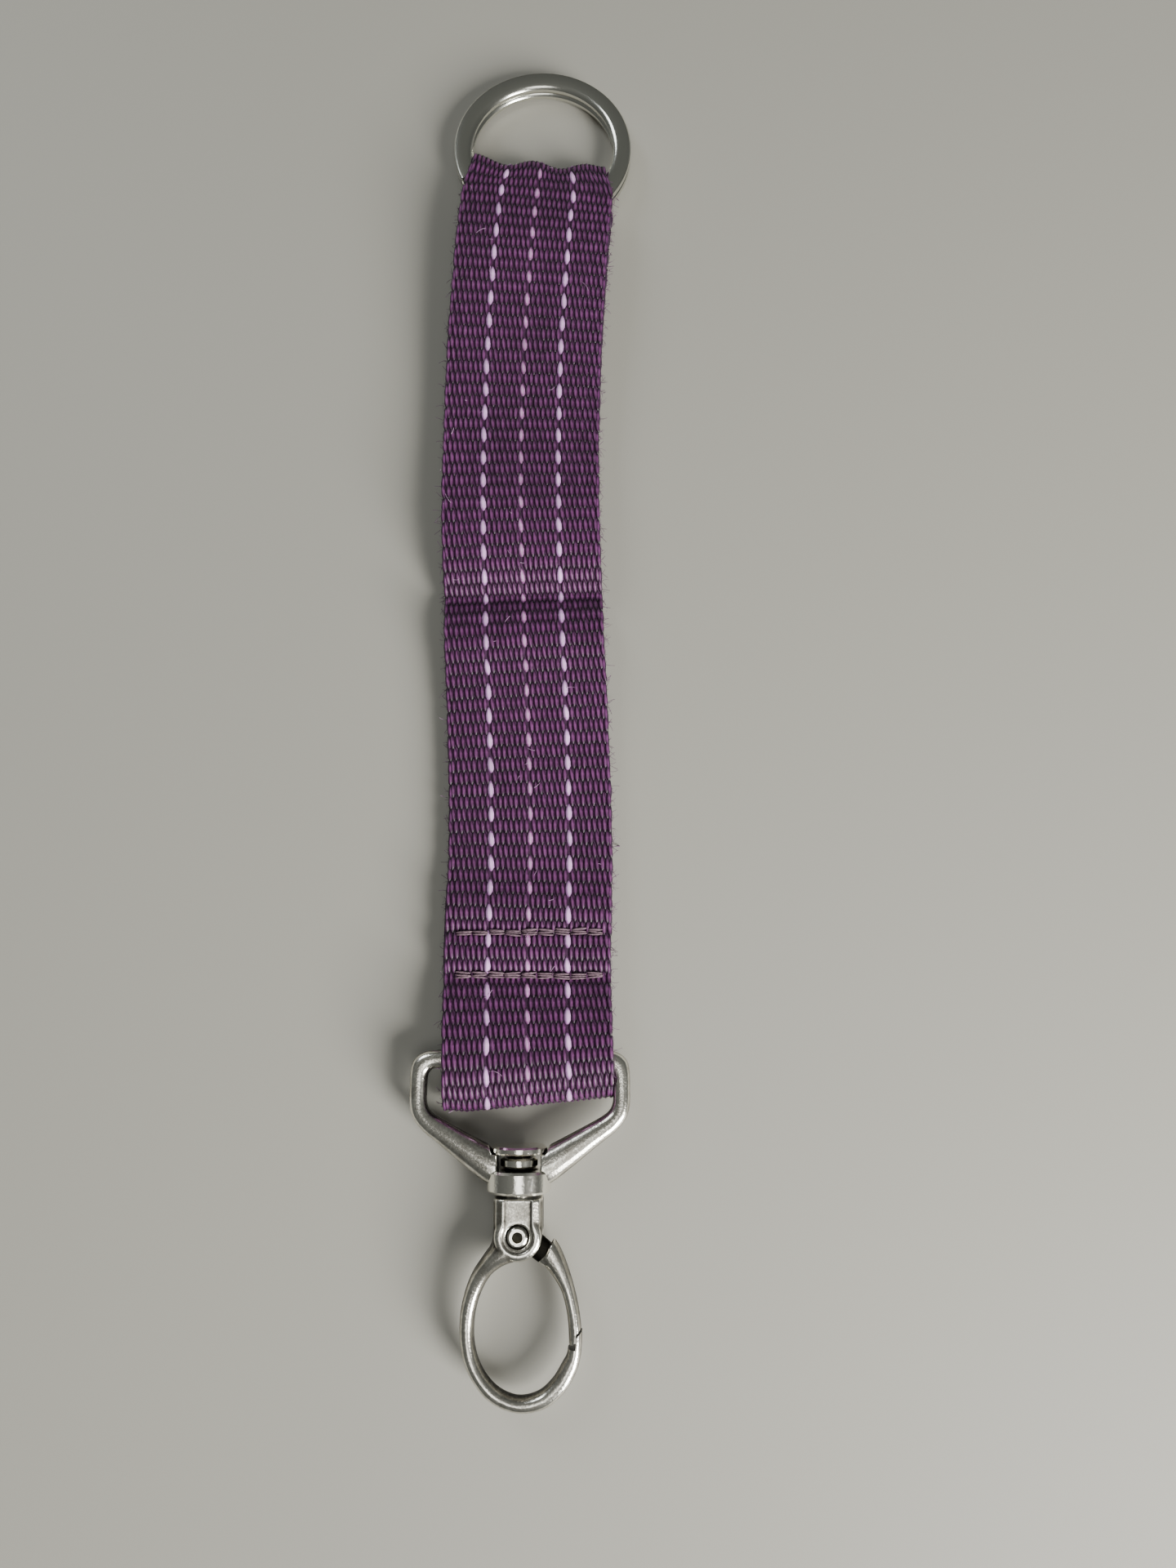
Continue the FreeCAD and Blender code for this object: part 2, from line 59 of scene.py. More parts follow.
# ---- Strap: the line it lies on --------------------------------------------------------
# One strip of 25 mm polyester webbing, 330 mm long. From its cut end under the seams it runs up
# the back, folds round the split ring, comes down the front with a crease below its middle,
# folds round the bail's bar and ends tucked between the two layers at the seams.
web_half = 12.5
core_half = 0.5
cut_end_back = -51.8
layers = [Vector(p) for p in (
    (cut_end_back, 0.85), (-44, 0.85), (-30, 0.85), (-10, 0.85), (10, 0.85), (30, 0.85), (50, 0.85),
    (66, 0.85), (76, 0.85), (82, 0.85), (85.7, 1.1), (88.0, 2.15), (88.65, 3.7), (87.7, 4.85),
    (85.1, 5.65), (81, 6.25), (75, 6.9), (67, 6.75), (57, 6.0), (45, 5.3), (34, 5.55), (26, 5.85),
    (20, 5.4), (16.4, 4.55), (12.8, 2.6), (9.8, 3.8), (5.5, 4.55), (0, 3.65), (-8, 3.0), (-20, 2.8),
    (-31, 2.95), (-36, 3.7), (-40.3, 3.7), (-43.7, 3.95), (-47.1, 3.7), (-50.5, 4.6), (-55, 5.75),
    (-59.5, 6.5), (-62.6, 5.9), (-64.7, 4.2), (-64.6, 2.6), (-62.8, 1.25), (-60, 0.85),
    (-56, 0.85), (-53.3, 1.2), (-50.6, 2.2), (-47, 2.35), (-41, 2.35), (-35.8, 2.35))]
wander = [Vector(p) for p in (
    (-70, 1.3), (-62, 1.2), (-46, 0.9), (-27, 1.15), (-9, 0.65), (11, -0.25), (32, -0.8),
    (53, -0.45), (75, 0.9), (84, 1.75), (92, 2.4))]


def smooth_line(points, fine):
    """Close points on a smooth line through the given ones."""
    ends = [points[0] * 2 - points[1]] + points + [points[-1] * 2 - points[-2]]
    line = []
    for a, b, c, d in zip(ends, ends[1:], ends[2:], ends[3:]):
        for i in range(fine):
            t = i / fine
            cubic = 3 * b - a - 3 * c + d
            square = 2 * a - 5 * b + 4 * c - d
            line.append(0.5 * (2 * b + (c - a) * t + square * t * t + cubic * t ** 3))
    line.append(points[-1])
    return line


strap_line = smooth_line(layers, 10)
strap_runs = [0.0]
for a, b in zip(strap_line, strap_line[1:]):
    strap_runs.append(strap_runs[-1] + (b - a).length)
strap_length = strap_runs[-1]
wander_line = smooth_line(wander, 8)
wander_ys = [p.x for p in wander_line]


def ease(low, high, x):
    """Rises smoothly from 0 at one value to 1 at the other."""
    t = min(max((x - low) / (high - low), 0.0), 1.0)
    return t * t * (3 - 2 * t)


def sideways(y):
    """How far the strap's middle has wandered from the hook's axis, and its slope."""
    i = min(max(bisect.bisect(wander_ys, y), 1), len(wander_ys) - 1)
    a, b = wander_line[i - 1], wander_line[i]
    slope = (b.y - a.y) / (b.x - a.x)
    return a.y + (y - a.x) * slope, slope


def run_at(y, front):
    """The length along the strip at which it passes a place on the front or the back layer."""
    for i in range(len(strap_line) - 1):
        a, b = strap_line[i], strap_line[i + 1]
        if (b.x < a.x) == front and min(a.x, b.x) <= y <= max(a.x, b.x):
            return strap_runs[i] + abs(y - a.x)
    return 0.0


tail_start = strap_length - 17.0
tail_shift = 0.45               # how far the tucked tail has slipped sideways
upper_seam = -40.3
lower_seam = -47.1
seam_dip = 0.32                 # how deep and wide each seam pulls the front layer in
seam_spread = 0.75
ring_zone = (82.5, 88.5)        # where along Y each fold's pull sets in and is full
bail_zone = (-54, -64)
ring_squeeze_left = 0.905       # the fold is narrower than the strap where the ring holds it
ring_squeeze_right = 0.86
bail_skew = 0.085               # the bail has pulled its fold a little out of square
front_crown = 0.16              # how far the front layer's edges hang
ripple = 0.10                   # its slight unevenness
lowest = 0.02                   # nothing reaches below the surface that the strap lies on


def lay(flat):
    """Puts a point of the flat strip (across, along, out of its face) where it lies, in metres."""
    u, v, w = flat
    i = min(max(bisect.bisect(strap_runs, v), 1), len(strap_runs) - 1)
    a, b = strap_line[i - 1], strap_line[i]
    ahead = (strap_line[min(i + 1, len(strap_line) - 1)] - strap_line[max(i - 2, 0)]).normalized()
    point = a + (b - a).normalized() * (v - strap_runs[i - 1])
    front = ahead.x < 0
    y = point.x + ahead.y * w
    z = point.y - ahead.x * w
    mid, slope = sideways(y)
    near_ring = ease(*ring_zone, y)
    squeeze = ring_squeeze_left if u < 0 else ring_squeeze_right
    u_here = u * (1 - (1 - squeeze) * near_ring)
    near_bail = ease(*bail_zone, y)
    x = mid + u_here
    y -= u_here * (slope - bail_skew * near_bail)
    y += near_bail * (0.5 * ease(-8.5, -12.5, u) - 0.35)
    y += near_ring * (0.55 * math.cos(u * 0.62 + 0.9) + 0.9 * (abs(u) / web_half) ** 5)
    if front:
        z += ripple * noise.noise(Vector((u * 0.12, y * 0.07, 5.0)))
        z -= front_crown * (u / web_half) ** 2 * ease(-66, -60, y)
        for seam in (upper_seam, lower_seam):
            z -= seam_dip * math.exp(-((y - seam) / seam_spread) ** 2)
    x -= tail_shift * ease(tail_start, tail_start + 8, v)
    return Vector(((axis_x + x) * MM, y * MM, max(z, lowest) * MM))


def new_piece(name, bm, *materials):
    """A finished mesh as an object at the origin."""
    mesh = bpy.data.meshes.new(name)
    bm.to_mesh(mesh)
    bm.free()
    for material in materials:
        mesh.materials.append(material)
    mesh.shade_smooth()
    obj = bpy.data.objects.new(name, mesh)
    bpy.context.scene.collection.objects.link(obj)
    return obj


def new_group(name, inputs, outputs):
    """An empty shader node group with the sockets asked for."""
    group = bpy.data.node_groups.new(name, "ShaderNodeTree")
    for label, kind, value in inputs:
        socket = group.interface.new_socket(label, in_out="INPUT", socket_type=kind)
        socket.default_value = value
    for label, kind in outputs:
        group.interface.new_socket(label, in_out="OUTPUT", socket_type=kind)
    entry = group.nodes.new("NodeGroupInput")
    leave = group.nodes.new("NodeGroupOutput")
    return group, entry, leave


def new_material(name):
    """A new material with its nodes, its links and its shader."""
    material = bpy.data.materials.new(name)
    material.use_nodes = True
    nodes = material.node_tree.nodes
    return material, nodes, material.node_tree.links, nodes["Principled BSDF"]


def add_noise(nodes, links, vector, scale, detail, rough=0.6):
    """Noise over the given places, from 0 to 1."""
    node = nodes.new("ShaderNodeTexNoise")
    node.inputs["Scale"].default_value = scale
    node.inputs["Detail"].default_value = detail
    node.inputs["Roughness"].default_value = rough
    links.new(vector, node.inputs["Vector"])
    return node.outputs["Fac"]


def add_math(nodes, links, kind, *values, clamp=False):
    """A sum or test on numbers and sockets."""
    node = nodes.new("ShaderNodeMath")
    node.operation = kind
    node.use_clamp = clamp
    for socket, value in zip(node.inputs, values):
        if isinstance(value, float):
            socket.default_value = value
        else:
            links.new(value, socket)
    return node.outputs[0]


def add_ramp(nodes, links, factor, *stops):
    """Colours run together between (place, colour) stops."""
    node = nodes.new("ShaderNodeValToRGB")
    ramp = node.color_ramp
    while len(ramp.elements) < len(stops):
        ramp.elements.new(0.5)
    for element, (place, colour) in zip(ramp.elements, stops):
        element.position = place
        element.color = (*colour, 1)
    links.new(factor, node.inputs["Fac"])
    return node.outputs["Color"]


def place_group(nodes, group, **values):
    """A node that uses a shader group, with some of its inputs set."""
    node = nodes.new("ShaderNodeGroup")
    node.node_tree = group
    for label, value in values.items():
        node.inputs[label].default_value = value
    return node


def add_bump(nodes, links, shader, height, strength, distance):
    """Raises the surface by a height pattern."""
    bump = nodes.new("ShaderNodeBump")
    bump.inputs["Strength"].default_value = strength
    bump.inputs["Distance"].default_value = distance
    links.new(height, bump.inputs["Height"])
    links.new(bump.outputs["Normal"], shader.inputs["Normal"])


def read_attribute(nodes, label):
    """A value that the mesh stores for each of its points."""
    node = nodes.new("ShaderNodeAttribute")
    node.attribute_name = label
    return node.outputs["Fac"]


# ---- Strap: yarn materials -------------------------------------------------------------
# Polyester yarns lie in slender floats: plum purple in the ground, lilac white in the outer
# stripes and dull mauve in the centre one. Each float is a bundle of fine lengthwise filaments,
# with a painted highlight on its crown and painted shade in the gaps and at its ends, faint lint
# and slow fading over the strap.
filaments, entry, leave = new_group(
    "filaments", [("Across", "NodeSocketFloat", 9000.0), ("Along", "NodeSocketFloat", 500.0)],
    [("Strands", "NodeSocketFloat"), ("Fade", "NodeSocketFloat"), ("Lint", "NodeSocketFloat")])
nodes, links = filaments.nodes, filaments.links
place = nodes.new("ShaderNodeTexCoord").outputs["Object"]
stretch = nodes.new("ShaderNodeVectorMath")
stretch.operation = "MULTIPLY"
scales = nodes.new("ShaderNodeCombineXYZ")
links.new(entry.outputs["Across"], scales.inputs["X"])
links.new(entry.outputs["Along"], scales.inputs["Y"])
links.new(entry.outputs["Across"], scales.inputs["Z"])
links.new(place, stretch.inputs[0])
links.new(scales.outputs[0], stretch.inputs[1])
links.new(add_noise(nodes, links, stretch.outputs[0], 1.0, 2.0), leave.inputs["Strands"])
links.new(add_noise(nodes, links, place, 70.0, 2.0), leave.inputs["Fade"])
specks = add_noise(nodes, links, place, 2600.0, 4.0, 0.75)
links.new(add_math(nodes, links, "GREATER_THAN", specks, 0.705), leave.inputs["Lint"])


def yarn(name, gap_shade, body, lit_crown, rough, lint):
    """Yarn colour runs from painted shade in the gaps to a painted highlight on the crown of each float."""
    material, nodes, links, shader = new_material(name)
    strands = place_group(nodes, filaments)
    height = read_attribute(nodes, "lit_crown")
    tone = read_attribute(nodes, "tone")
    mixed = add_math(nodes, links, "MULTIPLY_ADD", strands.outputs["Strands"], 0.9, height)
    level = add_math(nodes, links, "SUBTRACT", mixed, 0.45, clamp=True)
    colour = add_ramp(nodes, links, level, (0.05, gap_shade), (0.5, body), (0.95, lit_crown))
    worn = add_math(nodes, links, "MULTIPLY_ADD", strands.outputs["Fade"], 0.7, tone)
    bright = nodes.new("ShaderNodeHueSaturation")
    links.new(colour, bright.inputs["Color"])
    links.new(add_math(nodes, links, "ADD", worn, 0.03), bright.inputs["Value"])
    dusty = nodes.new("ShaderNodeMix")
    dusty.data_type = "RGBA"
    faded, dust = dusty.inputs[6:8]
    links.new(add_math(nodes, links, "MULTIPLY", strands.outputs["Lint"], lint), dusty.inputs[0])
    links.new(bright.outputs["Color"], faded)
    dust.default_value = (0.55, 0.45, 0.5, 1)
    links.new(dusty.outputs[2], shader.inputs["Base Color"])
    add_bump(nodes, links, shader, strands.outputs["Strands"], 0.35, 0.00008)
    shader.inputs["Roughness"].default_value = rough
    shader.inputs["Specular IOR Level"].default_value = 0.42
    shader.inputs["Sheen Weight"].default_value = 0.05
    shader.inputs["Sheen Roughness"].default_value = 0.45
    shader.inputs["Sheen Tint"].default_value = (0.85, 0.6, 0.9, 1)
    return material


# Each yarn's first colour is painted shade for the gaps and its last a painted highlight for the crowns.
plum = yarn("plum_yarn", (0.006, 0.0015, 0.006), (0.046, 0.009, 0.043), (0.16, 0.044, 0.150), 0.46, 0.5)
lilac = yarn("lilac_yarn", (0.17, 0.06, 0.18), (0.43, 0.22, 0.46), (0.72, 0.44, 0.75), 0.45, 0.1)
mauve = yarn("mauve_yarn", (0.06, 0.016, 0.06), (0.26, 0.095, 0.24), (0.56, 0.30, 0.54), 0.45, 0.2)
selvedge = yarn("selvedge_yarn", (0.02, 0.004, 0.022), (0.10, 0.018, 0.095), (0.24, 0.07, 0.23), 0.6, 0.8)
lint_fibre = yarn("lint_fibre", (0.10, 0.03, 0.10), (0.26, 0.10, 0.25), (0.55, 0.36, 0.54), 0.6, 0.0)

ground, nodes, links, shader = new_material("webbing_ground")
strands = place_group(nodes, filaments, Across=3200.0, Along=900.0).outputs["Strands"]
ground_colour = add_ramp(nodes, links, strands, (0.3, (0.014, 0.003, 0.014)), (0.75, (0.075, 0.016, 0.072)))
links.new(ground_colour, shader.inputs["Base Color"])
add_bump(nodes, links, shader, strands, 0.5, 0.0002)
shader.inputs["Roughness"].default_value = 0.8


# ---- Strap: the webbing's body ---------------------------------------------------------
# The dense middle of the strip, a flat ribbon a millimetre thick that the yarns are woven round.
# It is shown as two pieces that meet where the strap never bends.
def absorb(whole, part):
    """Adds a shape to another and lets go of it."""
    mesh = bpy.data.meshes.new("part")
    part.to_mesh(mesh)
    part.free()
    whole.from_mesh(mesh)
    bpy.data.meshes.remove(mesh)


def drawn_out(grown):
    """The new points of an extrusion."""
    return [g for g in grown["geom"] if isinstance(g, bmesh.types.BMVert)]


def ribbon(bm, low, high):
    """Adds a closed flat stretch of the strip between two lengths, laid in place."""
    part = bmesh.new()
    bmesh.ops.create_grid(part, x_segments=22, y_segments=int((high - low) / 0.7), size=0.5)
    bmesh.ops.scale(part, vec=(2 * web_half - 0.3, high - low, 1), verts=part.verts)
    bmesh.ops.translate(part, vec=(0, (low + high) / 2, -core_half), verts=part.verts)
    lifted = bmesh.ops.extrude_face_region(part, geom=part.faces[:], use_keep_orig=True)
    bmesh.ops.translate(part, vec=(0, 0, 2 * core_half), verts=drawn_out(lifted))
    for vert in part.verts:
        vert.co = lay(vert.co)
    bmesh.ops.recalc_face_normals(part, faces=part.faces)
    absorb(bm, part)


split_y = 43.0
back_split = run_at(split_y, False)
front_split = run_at(split_y, True)
low_body = bmesh.new()
ribbon(low_body, 0.0, back_split)
ribbon(low_body, front_split, strap_length)
webbing_low = new_piece("webbing_low", low_body, ground)
top_body = bmesh.new()
ribbon(top_body, back_split, front_split)
webbing_top = new_piece("webbing_top", top_body, ground)

# ---- Strap: the woven face -------------------------------------------------------------
# Slender floats in a two-row repeat: in one row they stand in line with the three stripe
# columns, in the next they are half a column over and leave the stripes' gaps dark.
column = 0.818
stripe_column = 1.33 * column
row_pitch = 1.95
first_dash = 1.1                # where the first dash row lies, along the strip
outer_stripe = 6.0
usual_tone = 0.62
fibre_tone = 0.6
fibre_radius = 0.036
PLUM, LILAC, MAUVE, SELVEDGE, FIBRE = range(5)
float_size = {PLUM: (0.385, 0.34, 1.30), LILAC: (0.53, 0.45, 1.42), MAUVE: (0.50, 0.38, 1.28)}


def row_sites(with_stripes):
    """Places of a row's floats across the strap, each with its yarn."""
    sites = []
    first = 0.5 * stripe_column
    if with_stripes:
        sites += [(0.0, MAUVE), (-outer_stripe, LILAC), (outer_stripe, LILAC)]
        first += 0.5 * column
        starts = [(first, 6), (outer_stripe + first, 7)]
    else:
        starts = [(first, 7), (outer_stripe + first, 8)]
    for start, count in starts:
        for i in range(count):
            sites.append((start + i * column, PLUM))
            sites.append((-start - i * column, PLUM))
    return sites


def dye(verts, yarn_index):
    """Gives a shape in a row its yarn."""
    for face in {f for vert in verts for f in vert.link_faces}:
        face.material_index = yarn_index


def add_float(row, across, along, kind, tone_of, row_tone):
    """One float of yarn lying on the strip, wider towards one end and leaning a little."""
    half, lift, reach = float_size[kind]
    tilt = Matrix.Rotation(dice.uniform(-0.07, 0.07), 4, "Z")
    at = Matrix.Translation((across + dice.uniform(-0.035, 0.035), along + dice.uniform(-0.07, 0.07),
                             core_half - 0.02))
    size = Matrix.Diagonal((half * dice.uniform(0.93, 1.06), lift * dice.uniform(0.9, 1.1),
                            reach * dice.uniform(0.95, 1.05), 1))
    made = bmesh.ops.create_uvsphere(row, u_segments=6, v_segments=6, radius=1.0,
                                     matrix=at @ tilt @ Matrix.Rotation(math.radians(90), 4, "X") @ size)
    tone = usual_tone + row_tone + dice.uniform(-0.12, 0.12)
    for vert in made["verts"]:
        share = (vert.co.y - along) / reach
        vert.co.x += (vert.co.x - across) * 0.26 * share + 0.07 * share
        tone_of[vert] = tone
    dye(made["verts"], kind)


def add_selvedge(row, side, along, tone_of):
    """One turn of the weft round the strip's edge."""
    at = Matrix.Translation((side * (web_half - 0.2 + dice.uniform(-0.06, 0.06)),
                             along + row_pitch * (0.25 + dice.uniform(-0.06, 0.06)), 0.05))
    made = bmesh.ops.create_uvsphere(row, u_segments=8, v_segments=8, radius=1.0,
                                     matrix=at @ Matrix.Diagonal((0.40, 1.80, 0.68, 1)))
    tone_of.update((vert, usual_tone + dice.uniform(-0.1, 0.1)) for vert in made["verts"])
    dye(made["verts"], SELVEDGE)


def stray_fibre(bm, start, heading, length):
    """One loose curling fibre."""
    steps = 5
    turn = heading.to_track_quat("Z", "Y").to_matrix().to_4x4()
    at = Matrix.Translation(start) @ turn
    ring = bmesh.ops.create_circle(bm, segments=3, radius=fibre_radius, matrix=at)["verts"]
    curl = Vector((dice.uniform(-0.3, 0.3), dice.uniform(-0.5, 0.5), dice.uniform(-0.25, 0.2)))
    for _ in range(steps):
        edges = list({e for v in ring for e in v.link_edges if e.other_vert(v) in ring})
        ring = drawn_out(bmesh.ops.extrude_edge_only(bm, edges=edges))
        heading = (heading + curl).normalized()
        bmesh.ops.translate(bm, vec=heading * length / steps, verts=ring)


def add_fibres(row, along):
    """Loose fibres along both selvedges, and now and then one on the face."""
    for side in (-1, 1):
        for _ in range(dice.choice((1, 2, 3))):
            start = Vector((side * (web_half + 0.1), along + dice.uniform(-1, 1), dice.uniform(-0.3, 0.3)))
            heading = Vector((side, dice.uniform(-1.6, 1.6), dice.uniform(-0.2, 0.5))).normalized()
            stray_fibre(row, start, heading, dice.uniform(0.5, 1.5))
    if dice.random() < 0.4:
        start = Vector((dice.uniform(-11.5, 11.5), along, core_half + 0.33))
        heading = Vector((dice.uniform(-1, 1), dice.uniform(-1, 1), 0.05)).normalized()
        stray_fibre(row, start, heading, dice.uniform(0.8, 2.2))


def weave(name, low, high):
    """The outer face's floats between two lengths along the strip, and its loose fibres."""
    whole = bmesh.new()
    lit_crowns, tones = [], []
    first_row = math.ceil((low - first_dash) / row_pitch)
    for k in range(first_row, math.ceil((high - first_dash) / row_pitch)):
        along = first_dash + k * row_pitch
        stripe_row = k % 2 == 0
        row = bmesh.new()
        row_tone = dice.uniform(-0.05, 0.05)
        tone_of = {}
        for across, kind in row_sites(stripe_row):
            add_float(row, across, along, kind, tone_of, row_tone)
        if stripe_row:
            for side in (-1, 1):
                add_selvedge(row, side, along, tone_of)
        add_fibres(row, along)
        for face in row.faces:
            if any(vert not in tone_of for vert in face.verts):
                face.material_index = FIBRE
        for vert in row.verts:
            # A point's height on its float sets its painted highlight; the float's ends sink into painted
            # shade.
            lit_crown = min(max((vert.co.z - core_half) / 0.3, 0.0), 1.0)
            lit_crowns.append(lit_crown - 0.3 * abs(vert.co.y - along) / 1.13)
            tones.append(tone_of.get(vert, fibre_tone))
            vert.co = lay(vert.co)
        absorb(whole, row)
    piece = new_piece(name, whole, plum, lilac, mauve, selvedge, lint_fibre)
    for label, values in (("lit_crown", lit_crowns), ("tone", tones)):
        layer = piece.data.attributes.new(label, "FLOAT", "POINT")
        layer.data.foreach_set("value", values)
    return piece


bail_turn = strap_length - 15.5     # past here the outer face is hidden between the layers
weave_back_low = weave("weave_back_low", 0.6, back_split)
weave_top = weave("weave_top", back_split, front_split)
weave_front_low = weave("weave_front_low", front_split, bail_turn)
for piece in (webbing_low, weave_back_low, weave_front_low):
    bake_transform(piece)
for piece in (webbing_top, weave_top):
    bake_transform(piece)
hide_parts("webbing_lower", "webbing_upper")
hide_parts("webbing_ring_end")

# ---- Seams -----------------------------------------------------------------------------
# Two rows of lockstitch across the strap close both folds. The thread is a dull mauve-brown
# three-strand cord, drawn down into the webbing and sewn over three times on the needle's side.
thread, nodes, links, shader = new_material("sewing_thread")
strands = place_group(nodes, filaments, Across=2500.0, Along=9000.0).outputs["Strands"]
thread_colour = add_ramp(nodes, links, strands, (0.3, (0.045, 0.024, 0.036)), (0.7, (0.24, 0.15, 0.19)))
links.new(thread_colour, shader.inputs["Base Color"])
shader.inputs["Roughness"].default_value = 0.7
seam_left = -10.9
seam_right = 11.4
stitch_pitch = 2.4
stitch_half = 1.25
thread_half_width = 0.20
thread_half_height = 0.21
stitch_height = 0.46            # the thread's middle above the strip's body
stitch_sink = 0.26              # how far a stitch's ends are drawn in
line_spacing = 0.36             # between the lines of a seam that is sewn over again


def stitch_row(name, node, y, slant, passes, under):
    """A row of stitches across the strap, over or under it."""
    whole = bmesh.new()
    run = run_at(y, not under)
    count = round((seam_right - seam_left) / stitch_pitch)
    lie_across = Matrix.Rotation(math.radians(90), 4, "Y")
    for step in range(count):
        middle = seam_left + (step + 0.5) * (seam_right - seam_left) / count
        drift = dice.uniform(-0.12, 0.12)
        lean = slant * ease(seam_right, seam_left, middle)
        for line in range(passes):
            offset = drift + (line - (passes - 1) / 2) * line_spacing + lean
            if line == passes - 1:
                offset += slant * 1.2 * ease(2, seam_left, middle)
            half = stitch_half * dice.uniform(0.92, 1.06)
            size = Matrix.Diagonal((thread_half_height, thread_half_width, half, 1))
            made = bmesh.ops.create_uvsphere(whole, u_segments=8, v_segments=10, radius=1.0,
                                             matrix=lie_across @ size)
            turn = dice.uniform(-0.13, 0.13)
            for vert in made["verts"]:
                u = vert.co.x
                sink = stitch_sink * (u / half) ** 4
                vert.co = lay(Vector((middle + u, run - vert.co.y - offset - turn * u,
                                      core_half + stitch_height + vert.co.z - sink)))
    piece = new_piece(name, whole, thread)
    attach(piece, "strap_lower")
    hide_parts(node)


stitch_row("upper_seam_needle", "seam_upper_needle_thread", upper_seam, -0.35, 3, False)
stitch_row("upper_seam_bobbin", "seam_upper_bobbin_thread", upper_seam, 0.2, 2, True)
stitch_row("lower_seam_needle", "seam_lower_needle_thread", lower_seam, 0.12, 3, False)
stitch_row("lower_seam_bobbin", "seam_lower_bobbin_thread", lower_seam, 0.0, 2, True)

# ---- Metal finishes --------------------------------------------------------------------
# The bail, pin and hook are zinc castings plated in antique gunmetal: polished and bright on
# edges and crowns, dark and grainy in the recesses. The ring is satin nickel-plated steel; its
# recesses are darkened as painted shade. Upright walls of every piece are darkened as painted shade.
casting_grain, entry, leave = new_group(
    "casting_grain", [("Grain Scale", "NodeSocketFloat", 3000.0)],
    [("Grain", "NodeSocketFloat"), ("Patches", "NodeSocketFloat"), ("Scratches", "NodeSocketFloat")])
nodes, links = casting_grain.nodes, casting_grain.links
place = nodes.new("ShaderNodeTexCoord").outputs["Object"]
fine = nodes.new("ShaderNodeTexNoise")
fine.inputs["Detail"].default_value = 3.0
links.new(place, fine.inputs["Vector"])
links.new(entry.outputs["Grain Scale"], fine.inputs["Scale"])
links.new(fine.outputs["Fac"], leave.inputs["Grain"])
links.new(add_noise(nodes, links, place, 420.0, 3.0), leave.inputs["Patches"])
stretch = nodes.new("ShaderNodeMapping")
stretch.inputs["Scale"].default_value = (9000, 500, 3000)
stretch.inputs["Rotation"].default_value = (0, 0, 0.5)
links.new(place, stretch.inputs["Vector"])
links.new(add_noise(nodes, links, stretch.outputs[0], 1.0, 2.0), leave.inputs["Scratches"])


def metal(name, dark, mid, bright, polished, dull, grain_depth):
    """Plated metal whose colour and polish follow how far each spot stands out."""
    material, nodes, links, shader = new_material(name)
    grain = place_group(nodes, casting_grain)
    patchy = add_math(nodes, links, "MULTIPLY_ADD", grain.outputs["Patches"], 0.45,
                      read_attribute(nodes, "stand_out"))
    speckled = add_math(nodes, links, "MULTIPLY_ADD", grain.outputs["Grain"], 0.35, patchy)
    level = add_math(nodes, links, "SUBTRACT", speckled, 0.4, clamp=True)
    plating = add_ramp(nodes, links, level, (0.1, dark), (0.42, mid), (0.68, bright))
    links.new(plating, shader.inputs["Base Color"])
    rough = add_ramp(nodes, links, level, (0.1, (dull,) * 3), (0.75, (polished,) * 3))
    scratched = add_math(nodes, links, "MULTIPLY_ADD", grain.outputs["Scratches"], 0.12, rough)
    links.new(scratched, shader.inputs["Roughness"])
    shader.inputs["Metallic"].default_value = 1.0
    add_bump(nodes, links, shader, grain.outputs["Grain"], 0.5, grain_depth)
    return material


gunmetal = metal("antique_gunmetal", (0.012, 0.011, 0.009), (0.42, 0.40, 0.35), (0.97, 0.95, 0.87),
                 polished=0.08, dull=0.34, grain_depth=0.00005)
# On the nickel ring the dark end of this ramp is painted shade in its recesses and on its walls.
nickel = metal("satin_nickel", (0.03, 0.03, 0.026), (0.27, 0.27, 0.24), (0.70, 0.70, 0.64),
               polished=0.12, dull=0.3, grain_depth=0.00001)
cast_blur = 10                  # how many neighbours away wear is judged, on a casting
turned_blur = 2
wear_and_shade_gain = 13000.0
flat_wear_and_shade = 0.42                # the wear and painted shade level of a face that neither stands out nor lies back


def mark_stand_out(mesh, blur, painted_wall_shade):
    """Stores how far each vertex stands out from its neighbours; upright walls are lowered as painted shade.
    """
    bm = bmesh.new()
    bm.from_mesh(mesh)
    bm.verts.ensure_lookup_table()
    around = [[e.other_vert(v).index for e in v.link_edges] for v in bm.verts]
    places = [v.co.copy() for v in bm.verts]
    for _ in range(blur):
        places = [(places[i] + sum((places[j] for j in near), Vector())) / (len(near) + 1)
                  for i, near in enumerate(around)]
    # Hollows sink and upright walls are lowered by the painted wall shade.
    values = [flat_wear_and_shade + wear_and_shade_gain * (v.co - places[v.index]).dot(v.normal)
              - painted_wall_shade * (1 - abs(v.normal.z)) ** 2 for v in bm.verts]
    values = [min(max((values[i] + sum(values[j] for j in near)) / (len(near) + 1), 0.0), 1.0)
              for i, near in enumerate(around)]
    bm.free()
    layer = mesh.attributes.new("stand_out", "FLOAT", "POINT")
    layer.data.foreach_set("value", values)


roundness = 0.78                # of a cast arm's section: 1 is an ellipse, less is squarer


